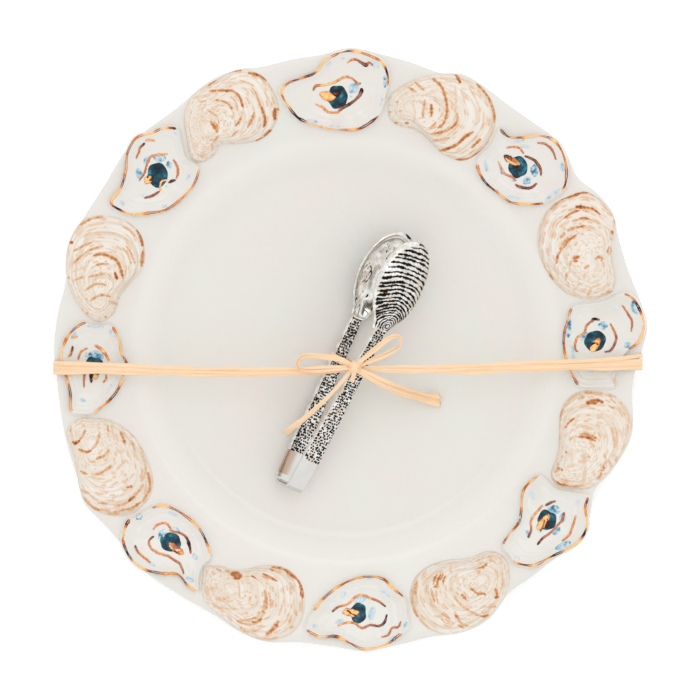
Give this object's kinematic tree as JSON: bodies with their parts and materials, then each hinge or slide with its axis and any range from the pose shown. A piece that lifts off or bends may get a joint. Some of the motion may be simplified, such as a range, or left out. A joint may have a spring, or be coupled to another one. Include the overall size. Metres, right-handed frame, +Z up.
{
  "type": "oyster plate",
  "caption": "Round ceramic platter with a rim of oyster shells in relief around a deep well, and shell-bowled spring tongs tied across the well with raffia.",
  "frame": {"origin": "centre of the foot ring, on the table, which is the middle of the bottom of the box to within 2 mm", "axes": "+Z up out of the well, +Y to the top of the plate as seen from above, +X to its right; the raffia band runs along X and the tongs head 64 degrees from +X towards +Y"},
  "size_m": [0.3561, 0.3616, 0.0491],
  "materials": {
    "glaze_white": "gloss",
    "glaze_painted": "gloss",
    "glaze_cream": "gloss",
    "silver": "polished",
    "raffia": "satin"
  },
  "bodies": {
    "plate": {"plate_body": "glaze_white", "open_shell_1": "glaze_painted", "open_shell_2": "glaze_painted", "open_shell_3": "glaze_painted", "open_shell_4": "glaze_painted", "open_shell_5": "glaze_painted", "open_shell_6": "glaze_painted", "open_shell_7": "glaze_painted", "open_shell_8": "glaze_painted", "closed_shell_1": "glaze_cream", "closed_shell_2": "glaze_cream", "closed_shell_3": "glaze_cream", "closed_shell_4": "glaze_cream", "closed_shell_5": "glaze_cream", "closed_shell_6": "glaze_cream", "closed_shell_7": "glaze_cream", "closed_shell_8": "glaze_cream", "raffia_band": "raffia", "raffia_wrap": "raffia", "raffia_knot": "raffia", "raffia_loop_left": "raffia", "raffia_loop_right": "raffia", "raffia_tail_left": "raffia", "raffia_tail_right": "raffia"},
    "tongs_bow": {"tongs_bow": "silver"},
    "upper_arm": {"tongs_upper_arm": "silver"},
    "lower_arm": {"tongs_lower_arm": "silver"}
  },
  "joints": [
    {"name": "tongs_slide", "type": "slide", "parent": "plate", "child": "tongs_bow", "axis": [0.4431, 0.8965, 0], "range_m": [0, 0.025]},
    {"name": "upper_arm_squeeze", "type": "hinge", "parent": "tongs_bow", "child": "upper_arm", "pos_m": [-0.03034, -0.08069, 0.02459], "axis": [-0.754, 0.3233, 0.5719], "range_deg": [0, 2.6], "stiffness_Nm_per_rad": 2, "deforming": ["tongs_bow"]},
    {"name": "lower_arm_squeeze", "type": "hinge", "parent": "tongs_bow", "child": "lower_arm", "pos_m": [-0.03758, -0.07606, 0.01244], "axis": [-0.754, 0.3233, 0.5719], "range_deg": [-2.6, 0], "stiffness_Nm_per_rad": 2}
  ],
  "couplings": [
    {"joint": "lower_arm_squeeze", "follows": "upper_arm_squeeze", "ratio": -1}
  ]
}
